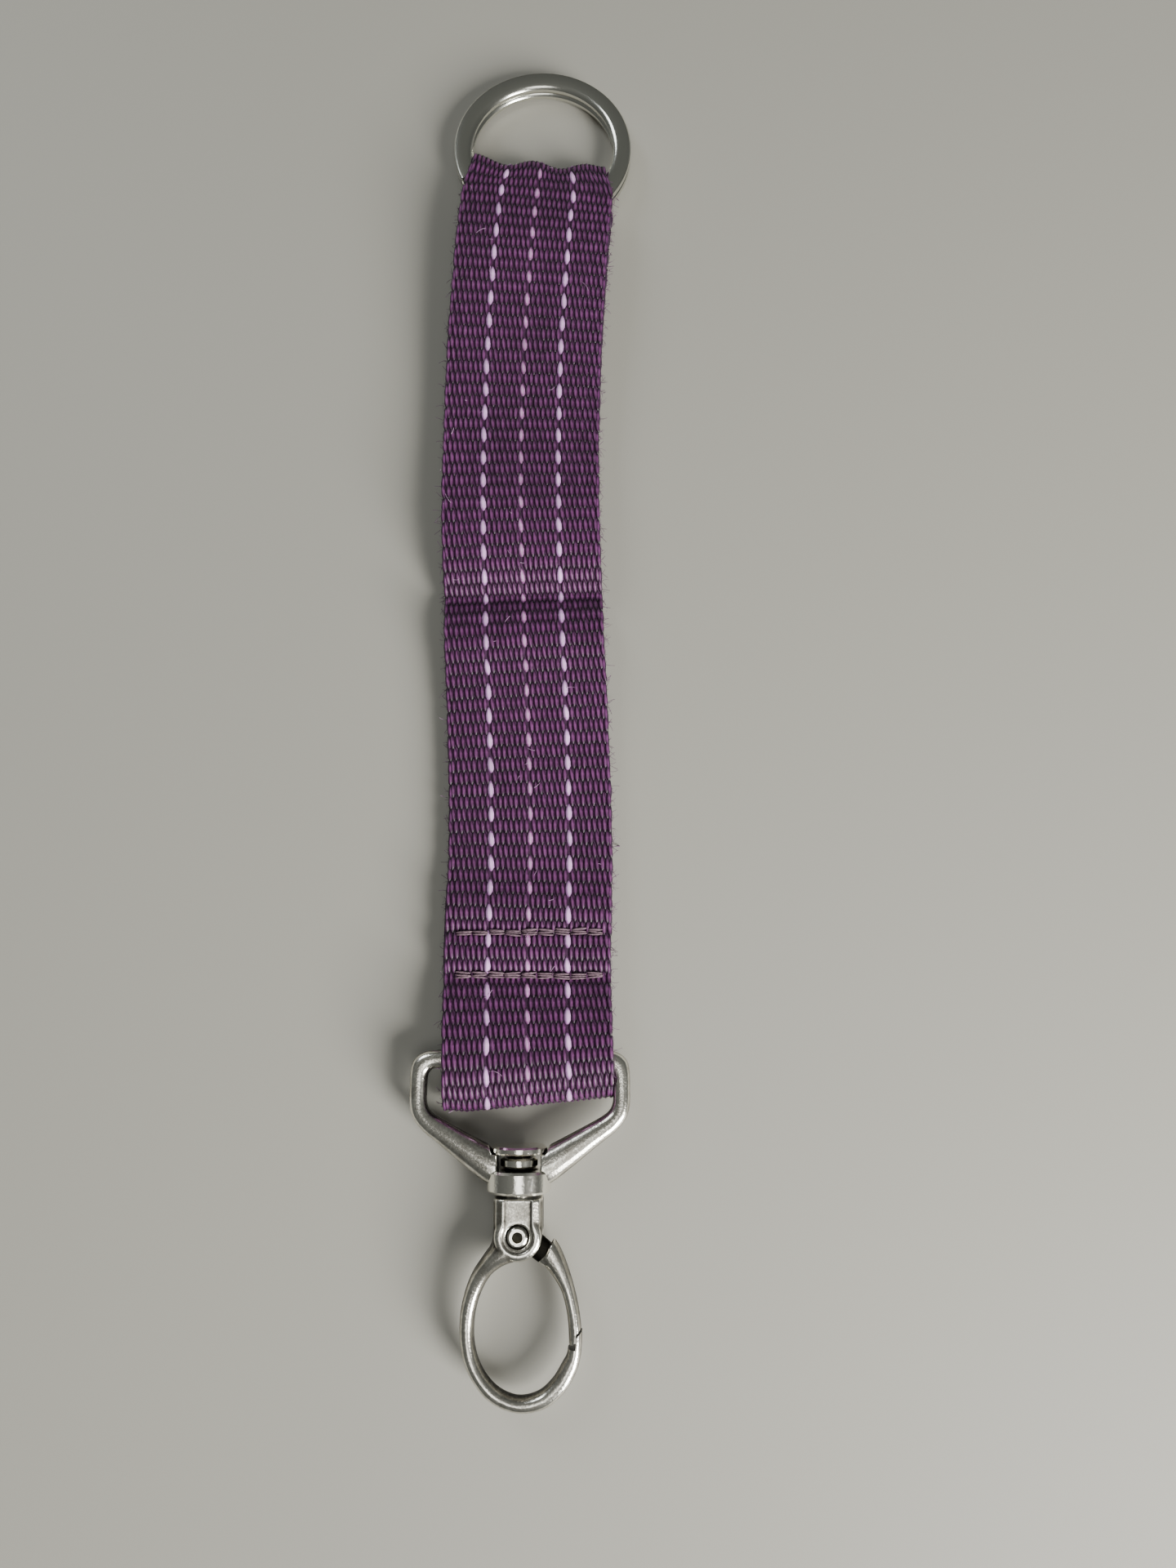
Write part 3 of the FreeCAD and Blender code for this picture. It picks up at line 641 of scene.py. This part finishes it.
def sweep(stations):
    """A solid drawn through stations, each an outer and an inner (x, y) and half a thickness."""
    bm = bmesh.new()
    ring = bmesh.ops.create_circle(bm, segments=20, radius=1.0)["verts"]
    angles = [math.atan2(v.co.y, v.co.x) for v in ring]
    for i, (outer, inner, thick) in enumerate(stations):
        if i:
            edges = list({e for v in ring for e in v.link_edges if e.other_vert(v) in set(ring)})
            fresh = set(drawn_out(bmesh.ops.extrude_edge_only(bm, edges=edges)))
            ring = [next(e.other_vert(v) for e in v.link_edges if e.other_vert(v) in fresh) for v in ring]
        middle, across = (outer + inner) / 2, (outer - inner) / 2
        for vert, angle in zip(ring, angles):
            c, n = math.cos(angle), math.sin(angle)
            c = math.copysign(abs(c) ** roundness, c)
            n = math.copysign(abs(n) ** roundness, n)
            vert.co = Vector((middle.x + across.x * c, middle.y + across.y * c, thick * n))
    bmesh.ops.holes_fill(bm, edges=bm.edges)
    bmesh.ops.recalc_face_normals(bm, faces=bm.faces)
    return bm


def stations_through(corners, fine):
    """Smooth stations from a few (outer x, y, inner x, y, half thickness)."""
    outer = smooth_line([Vector(c[0:2]) for c in corners], fine)
    inner = smooth_line([Vector(c[2:4]) for c in corners], fine)
    thick = smooth_line([Vector((c[4], 0)) for c in corners], fine)
    return [(o, i, t.x) for o, i, t in zip(outer, inner, thick)]


def to_hook(bm, y=0.0):
    """Moves a shape drawn in millimetres round the hook's axis to its place, in metres."""
    bmesh.ops.translate(bm, vec=(axis_x, y, axis_z), verts=bm.verts)
    bmesh.ops.scale(bm, vec=(MM, MM, MM), verts=bm.verts)
    return bm


def outline(bm, places):
    """A closed loop of points and edges."""
    verts = [bm.verts.new(place) for place in places]
    return verts, [bm.edges.new(pair) for pair in zip(verts, verts[1:] + verts[:1])]


def turned(profile):
    """A solid of revolution about the hook's axis from (radius, y) points, in metres."""
    bm = bmesh.new()
    verts, edges = outline(bm, [(r, y, 0) for r, y in profile])
    bmesh.ops.spin(bm, geom=verts + edges, cent=(0, 0, 0), axis=(0, 1, 0), angle=math.tau, steps=72,
                   use_merge=True)
    bmesh.ops.remove_doubles(bm, verts=bm.verts, dist=1e-4)
    bmesh.ops.recalc_face_normals(bm, faces=bm.faces)
    return to_hook(bm)


def join(*parts):
    """Several closed shapes in one mesh."""
    whole = bmesh.new()
    for part in parts:
        absorb(whole, part)
    return whole


def modified(obj):
    """Bakes an object's modifiers into its mesh."""
    ready = obj.evaluated_get(bpy.context.evaluated_depsgraph_get())
    mesh = bpy.data.meshes.new_from_object(ready)
    obj.modifiers.clear()
    obj.data = mesh


def skinned(obj, grid):
    """Fuses overlapping shapes under one even skin."""
    skin = obj.modifiers.new("skin", "REMESH")
    skin.mode = "VOXEL"
    skin.voxel_size = grid * MM
    modified(obj)


def carved(piece, cutters):
    """Cuts shapes out of a piece one after another."""
    for cutter in cutters:
        tool = new_piece("tool", cutter)
        cut = piece.modifiers.new("cut", "BOOLEAN")
        cut.operation = "DIFFERENCE"
        cut.solver = "EXACT"
        cut.object = tool
        modified(piece)
        bpy.data.objects.remove(tool)


def finish_metal(piece, material, body, blur=cast_blur, painted_wall_shade=0.4):
    """Gives a metal piece its plating, crisp edges where it was turned, and its body."""
    if blur < cast_blur:
        piece.data.set_sharp_from_angle(angle=math.radians(28))
    piece.data.materials.clear()
    piece.data.materials.append(material)
    mark_stand_out(piece.data, blur, painted_wall_shade)
    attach(piece, body)


def cast_piece(name, shape, cutters, sawn, grid, rub, body, replaced):
    """One gunmetal casting: shapes fused on a grid, recesses cut, rubbed round as by tumbling, then
    sawn where it meets its neighbour; the sawn faces stay dark."""
    piece = new_piece(name, shape)
    skinned(piece, grid)
    carved(piece, cutters)
    skinned(piece, grid * 0.9)
    smooth = bmesh.new()
    smooth.from_mesh(piece.data)
    for _ in range(rub):
        bmesh.ops.smooth_vert(smooth, verts=smooth.verts, factor=0.5, use_axis_x=True, use_axis_y=True,
                              use_axis_z=True)
    smooth.to_mesh(piece.data)
    smooth.free()
    piece.data.shade_smooth()
    finish_metal(piece, gunmetal, body)
    if sawn:
        carved(piece, sawn)
        piece.data.set_sharp_from_angle(angle=math.radians(40))
    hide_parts(replaced)
    return piece


def post(radius, low, high, sides=48):
    """An upright round bar about the origin in millimetres, for joining or cutting."""
    bm = bmesh.new()
    bmesh.ops.create_cone(bm, cap_ends=True, segments=sides, radius1=radius, radius2=radius, depth=high - low,
                          matrix=Matrix.Translation((0, 0, (low + high) / 2)))
    return bm


def prism(corners, low, high):
    """An upright solid with the given outline, in millimetres."""
    bm = bmesh.new()
    face = bm.faces.new([bm.verts.new((x, y, low)) for x, y in corners])
    grown = bmesh.ops.extrude_face_region(bm, geom=[face], use_keep_orig=True)
    bmesh.ops.translate(bm, vec=(0, 0, high - low), verts=drawn_out(grown))
    bmesh.ops.recalc_face_normals(bm, faces=bm.faces)
    return bm


def block(low, high):
    """A box between two corners in millimetres."""
    bm = bmesh.new()
    size = [h - l for l, h in zip(low, high)]
    centre = [(l + h) / 2 for l, h in zip(low, high)]
    bmesh.ops.create_cube(bm, size=1.0, matrix=Matrix.Translation(centre) @ Matrix.Diagonal((*size, 1)))
    return bm


# ---- Split ring ------------------------------------------------------------------------
# A spring-steel key ring, 30 mm outside: two turns of flattened wire lying face to face with a
# fine dark line between them, joined by a sloping step. It is nickel plated and satin finished.
ring_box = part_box("split_ring")
ring_x, ring_y = ((ring_box[0][i] + ring_box[1][i]) / 2 / MM for i in (0, 1))
ring_z = (ring_box[0][2] + ring_box[1][2]) / 2 / MM
ring_tilt = -2.5                # degrees; its far side hangs down
ring_mid = 1.45                 # half the height of its two turns
ring_back = 0.25                # how far it lies from the middle of its CAD box, towards the hook
wire_start = 231.6              # degrees; the wire's cut end lies under the strap
turn_angle = 333.4              # each turn but for the step between them
step_angle = 26.0
step_rise = 1.5
section = ((12.0, 0.45), (12.08, 0.2), (12.3, 0.03), (12.55, 0.0), (14.6, 0.0), (14.85, 0.05), (15.03, 0.2),
           (15.1, 0.45), (15.1, 0.95), (15.03, 1.2), (14.85, 1.35), (14.6, 1.4), (12.85, 1.4), (12.55, 1.32),
           (12.2, 1.08), (12.0, 0.85))
wire = bmesh.new()
verts, edges = outline(wire, [(r, 0, z) for r, z in section])
turn_to_start = Matrix.Rotation(math.radians(wire_start), 3, "Z")
bmesh.ops.rotate(wire, verts=wire.verts, cent=(0, 0, 0), matrix=turn_to_start)
wire.faces.new(verts)
ends = verts + edges
for angle, rise, steps in ((turn_angle, 0.0, 120), (step_angle, step_rise, 12), (turn_angle, 0.0, 120)):
    spun = bmesh.ops.spin(wire, geom=ends, cent=(0, 0, 0), axis=(0, 0, 1), dvec=(0, 0, rise / steps),
                          angle=math.radians(angle), steps=steps)
    ends = spun["geom_last"]
wire.faces.new([g for g in ends if isinstance(g, bmesh.types.BMVert)])
bmesh.ops.recalc_face_normals(wire, faces=wire.faces)
bmesh.ops.rotate(wire, verts=wire.verts, cent=(0, 0, ring_mid),
                 matrix=Matrix.Rotation(math.radians(ring_tilt), 3, "X"))
bmesh.ops.translate(wire, vec=(ring_x, ring_y - ring_back, ring_z - ring_mid), verts=wire.verts)
bmesh.ops.scale(wire, vec=(MM, MM, MM), verts=wire.verts)
ring = new_piece("key_ring", wire)
# The ring's recesses and walls get painted shade.
finish_metal(ring, nickel, "ring", blur=3, painted_wall_shade=0.35)
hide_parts("split_ring")

# ---- Swivel bail -----------------------------------------------------------------------
# A cast D-shaped frame: a round bar inside the strap's fold, two side bars and two arms that
# broaden down to the collar where the pin turns. Arms and bars are one smooth casting.
arm = [(0, -57.8, 0, -60.4, 1.4), (7, -57.8, 7, -60.4, 1.4), (12.2, -57.8, 11.9, -60.4, 1.4),
       (14.3, -58.15, 13.0, -60.65, 1.4), (15.7, -59.2, 13.5, -61.2, 1.4), (16.2, -60.9, 13.65, -62.1, 1.4),
       (16.25, -63.5, 13.7, -63.9, 1.4), (16.2, -65.6, 13.65, -65.4, 1.45), (15.7, -67.5, 13.15, -66.5, 1.5),
       (14.2, -69.4, 12.0, -67.4, 1.6), (11.5, -71.5, 10.0, -68.5, 1.8), (8.0, -74.3, 7.2, -69.95, 2.05),
       (4.9, -76.6, 4.5, -71.3, 2.25), (3.0, -77.3, 3.2, -71.7, 2.25)]
right_arm = sweep(stations_through(arm, 6))
left_arm = sweep(stations_through([(-a, b, -c, d, e) for a, b, c, d, e in arm], 6))
rooms = []                      # for the pin's head, its shank and the collar, along the hook's axis
lie_along = Matrix.Rotation(math.radians(-90), 3, "X")
for radius, low, high in ((4.4, -72.6, -67.0), (2.95, -74.85, -67.0), (2.6, -79.0, -74.0)):
    room = post(radius, low, high)
    bmesh.ops.rotate(room, verts=room.verts, cent=(0, 0, 0), matrix=lie_along)
    rooms.append(to_hook(room))
cast_piece("bail", to_hook(join(right_arm, left_arm)), rooms, [],
           grid=0.125, rub=5, body="bail", replaced="swivel_bail")
collar_widening = 0.1           # across the strap, where the collar blends into the arms
collar = new_piece("bail_collar", turned((
    (2.45, -77.8), (2.6, -78.0), (3.95, -78.0), (4.25, -77.65), (4.25, -75.2), (3.95, -74.85), (2.6, -74.85),
    (2.45, -75.0))))
for vert in collar.data.vertices:
    vert.co.x += (vert.co.x - axis_x * MM) * collar_widening
finish_metal(collar, gunmetal, "bail", turned_blur)

# ---- Swivel pin ------------------------------------------------------------------------
# A turned and polished pin: its round head sits between the bail's cheeks and its spigot is
# riveted in the hook's neck.
pin = new_piece("pin", turned((
    (0.001, -71.45), (3.75, -71.45), (4.1, -71.7), (4.1, -72.25), (3.85, -72.5), (1.7, -72.52), (1.7, -73.1),
    (2.4, -73.12), (2.72, -73.4), (2.72, -74.2), (2.4, -74.55), (1.9, -74.6), (1.9, -78.85), (1.6, -78.95),
    (1.6, -80.0), (0.001, -80.0))))
finish_metal(pin, gunmetal, "hook", turned_blur)
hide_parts("swivel_pin")

# ---- Hook ------------------------------------------------------------------------------
# The cast snap hook: a stout forked neck with a sunk panel and the rivet's seat, the fixed side
# of the egg-shaped eye, and the notched tip that the gate shuts against.
rivet_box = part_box("gate_rivet")
rivet_y = (rivet_box[0][1] + rivet_box[1][1]) / 2 / MM
eye = sweep(stations_through([
    (-3.35, 2.6, 1.6, -2.9, 3.3), (-3.8, -1.0, 0.2, -3.5, 3.3), (-5.1, -3.05, -2.1, -4.3, 3.0),
    (-6.55, -5.2, -3.95, -5.75, 2.4), (-7.65, -8.0, -5.4, -8.4, 1.95), (-8.27, -11.5, -6.15, -11.6, 1.75),
    (-8.05, -15.5, -6.05, -15.1, 1.7), (-6.85, -19.0, -5.0, -18.1, 1.7), (-4.1, -22.35, -2.9, -20.6, 1.7),
    (-0.06, -24.0, 0.0, -21.85, 1.7), (3.8, -23.5, 2.9, -21.3, 1.7), (6.65, -21.4, 5.0, -19.55, 1.7),
    (8.35, -18.75, 6.35, -17.45, 1.7), (9.0, -16.6, 7.0, -16.3, 1.7), (9.2, -14.6, 7.25, -14.6, 1.7),
    (9.22, -13.0, 7.3, -13.0, 1.65), (9.2, -12.3, 7.3, -12.3, 1.65)], 6))
beyond = 4.0                    # further out than any of the hook's faces
tip_room = prism(((5.5, -11.0), (10.5, -11.0), (10.5, -12.4), (9.25, -12.95), (8.32, -13.95), (8.25, -15.5),
                  (5.5, -15.2)), -beyond, beyond)
neck_half = 3.3
neck = block((-3.55, 0.0, -neck_half), (3.55, 5.15, neck_half))
sides = [e for e in neck.edges if abs(e.verts[0].co.y - e.verts[1].co.y) > 1]
bmesh.ops.bevel(neck, geom=sides, offset=1.45, affect="EDGES", segments=2, profile=0.5, material=-1)
heel = post(3.45, -neck_half, neck_half, 64)
rims = [e for e in heel.edges if abs(e.verts[0].co.z - e.verts[1].co.z) < 0.01]
bmesh.ops.bevel(heel, geom=rims, offset=0.7, affect="EDGES", segments=3, profile=0.5, material=-1)
fork_half = 1.8
gate_room = post(4.6, -fork_half, fork_half, 64)
for normal in ((1, 0, 0), (0, -1, 0)):
    bmesh.ops.bisect_plane(gate_room, geom=gate_room.verts[:] + gate_room.edges[:] + gate_room.faces[:],
                           plane_co=(0.1, 0.35, 0), plane_no=normal, clear_inner=True)
    bmesh.ops.holes_fill(gate_room, edges=gate_room.edges)
bmesh.ops.recalc_face_normals(gate_room, faces=gate_room.faces)
panel_half = 2.05
panel_end = 5.6
panel_radius = 2.35
panel_floor = 3.12
seat_floor = 2.85
arc_start = 150.7               # degrees; the panel's round end, from one side about to the other
arc_sweep = 238.6
arc_steps = 16
panel = [(panel_half, panel_end), (-panel_half, panel_end)]
for step in range(arc_steps + 1):
    angle = math.radians(arc_start + step * arc_sweep / arc_steps)
    panel.append((panel_radius * math.cos(angle), panel_radius * math.sin(angle)))


def both_faces(depth):
    """The two stretches of Z from a recess's floor out past the neck's front and its back."""
    return (depth, beyond), (-beyond, -depth)


rivet_bore = post(1.03, -beyond, beyond)
rivet_seats = [post(1.72, low, high) for low, high in both_faces(seat_floor)]
panels = [prism(panel, low, high) for low, high in both_faces(panel_floor)]
centre_lines = [block((-0.1, 2.3, low), (0.1, panel_end, high)) for low, high in both_faces(seat_floor)]
fork_slot = post(3.15, -fork_half, fork_half, 64)
cutters = [gate_room, fork_slot, rivet_bore, *rivet_seats, *panels, *centre_lines]
cast_piece("snap_hook", to_hook(join(eye, neck, heel), rivet_y), [to_hook(c, rivet_y) for c in cutters],
           [to_hook(tip_room, rivet_y)], grid=0.11, rub=9, body="hook", replaced="hook_body")

# ---- Gate, rivet and spring ------------------------------------------------------------
# The gate turns on a tubular rivet in the fork, its nose laps inside the hook's lip, and a small
# torsion spring keeps it shut.
gate_arm = sweep(stations_through([
    (5.2, -0.6, 3.4, -4.0, 1.75), (6.05, -1.9, 4.0, -4.7, 1.75), (6.95, -3.9, 4.95, -5.8, 1.75),
    (7.95, -6.85, 6.15, -7.7, 1.7), (8.65, -9.65, 6.85, -10.0, 1.7), (9.05, -12.2, 7.2, -12.3, 1.7),
    (9.2, -14.2, 7.3, -14.3, 1.65), (9.2, -15.6, 7.35, -15.7, 1.6)], 6))
nose_end = prism(((5.5, -17.0), (10.5, -17.0), (10.5, -12.0), (9.2, -12.55), (8.12, -13.65), (8.0, -14.9),
                  (5.5, -14.65)), -beyond, beyond)
root = post(2.85, 0.05, 1.55)
web = sweep(stations_through([
    (0.8, 1.8, -0.8, -1.8, 0.75), (3.2, 0.2, 1.4, -2.8, 0.75), (4.9, -1.2, 3.0, -3.9, 0.75),
    (5.9, -2.3, 4.0, -4.5, 0.75)], 3))
bmesh.ops.translate(web, vec=(0, 0, 0.8), verts=web.verts)
gate = cast_piece("snap_gate", to_hook(join(gate_arm, root, web), rivet_y),
                  [to_hook(post(1.08, -beyond, beyond), rivet_y)], [to_hook(nose_end, rivet_y)],
                  grid=0.1, rub=4, body="gate", replaced="gate")
fork_shade_reach = 4.75                 # nearer to the rivet than this the gate is painted darkest, as painted shade inside the fork
# The gate's tongue inside the fork is set darkest as painted shade.
for vert, spot in zip(gate.data.vertices, gate.data.attributes["stand_out"].data):
    if math.hypot(vert.co.x / MM - axis_x, vert.co.y / MM - rivet_y) < fork_shade_reach:
        spot.value = 0.0
tube = bmesh.new()
profile = [(0.72, -3.35), (0.78, -3.48), (1.15, -3.5), (1.36, -3.4), (1.4, -3.2), (1.36, -3.0), (1.0, -2.85)]
profile += [(r, -z) for r, z in reversed(profile)]
verts, edges = outline(tube, [(r, 0, z) for r, z in profile])
bmesh.ops.spin(tube, geom=verts + edges, cent=(0, 0, 0), axis=(0, 0, 1), angle=math.tau, steps=40,
               use_merge=True)
bmesh.ops.recalc_face_normals(tube, faces=tube.faces)
rivet = new_piece("rivet", to_hook(tube, rivet_y))
finish_metal(rivet, gunmetal, "hook", turned_blur)
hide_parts("gate_rivet")
spring_wire, nodes, links, shader = new_material("spring_steel")
patches = place_group(nodes, casting_grain).outputs["Patches"]
links.new(add_ramp(nodes, links, patches, (0.3, (0.3, 0.3, 0.3)), (0.7, (0.6, 0.6, 0.6))),
          shader.inputs["Base Color"])
shader.inputs["Metallic"].default_value = 1.0
shader.inputs["Roughness"].default_value = 0.3
for material_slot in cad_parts["gate_spring"].material_slots:
    material_slot.material = spring_wire

# ---- Floor, light and camera -----------------------------------------------------------
# A plain pale surface, one soft window from the lower right, a weak one behind, a faint light
# overhead, and a room that is pale near the surface, darker above it and pale again at the top.
floor_mesh = bmesh.new()
bmesh.ops.create_grid(floor_mesh, x_segments=1, y_segments=1, size=5.0)
floor_material, nodes, links, shader = new_material("pale_surface")
shader.inputs["Base Color"].default_value = (0.33, 0.322, 0.285, 1)
shader.inputs["Roughness"].default_value = 0.6
floor = new_piece("floor", floor_mesh, floor_material)

world = bpy.data.worlds.new("room")
bpy.context.scene.world = world
world.use_nodes = True
nodes, links = world.node_tree.nodes, world.node_tree.links
height = nodes.new("ShaderNodeSeparateXYZ")
links.new(nodes.new("ShaderNodeTexCoord").outputs["Generated"], height.inputs[0])
room = add_ramp(nodes, links, height.outputs["Z"], (0.0, (0.50, 0.51, 0.48)), (0.3, (0.16, 0.165, 0.155)),
                (0.72, (0.22, 0.225, 0.21)), (1.0, (0.30, 0.305, 0.285)))
links.new(room, nodes["Background"].inputs["Color"])
nodes["Background"].inputs["Strength"].default_value = 0.55


def soft_light(name, place, target, width, height, power, colour):
    """A rectangular light at a place, facing a target."""
    lamp = bpy.data.lights.new(name, "AREA")
    lamp.shape = "RECTANGLE"
    lamp.size = width
    lamp.size_y = height
    lamp.energy = power
    lamp.color = colour
    obj = bpy.data.objects.new(name, lamp)
    bpy.context.scene.collection.objects.link(obj)
    obj.location = place
    obj.rotation_euler = (Vector(target) - Vector(place)).to_track_quat("-Z", "Y").to_euler()


soft_light("window", (0.44, -0.44, 0.36), (0, 0, 0), 0.26, 0.42, 13.0, (1.0, 0.985, 0.95))
soft_light("ceiling", (0.02, -0.22, 0.62), (0, -0.07, 0), 0.24, 0.24, 0.5, (1.0, 0.99, 0.96))
soft_light("far_window", (-0.45, 0.5, 0.5), (0, 0, 0), 0.25, 0.4, 2.0, (0.93, 0.97, 1.0))

camera = bpy.data.cameras.new("camera")
camera.lens = 27.04
camera.sensor_width = 36.0
camera.clip_start = 0.01
view = bpy.data.objects.new("camera", camera)
bpy.context.scene.collection.objects.link(view)
view.location = ((axis_x + 10.03) * MM, -49.33 * MM, 183.2 * MM)
view.rotation_euler = (math.radians(10), 0, 0)
bpy.context.scene.camera = view
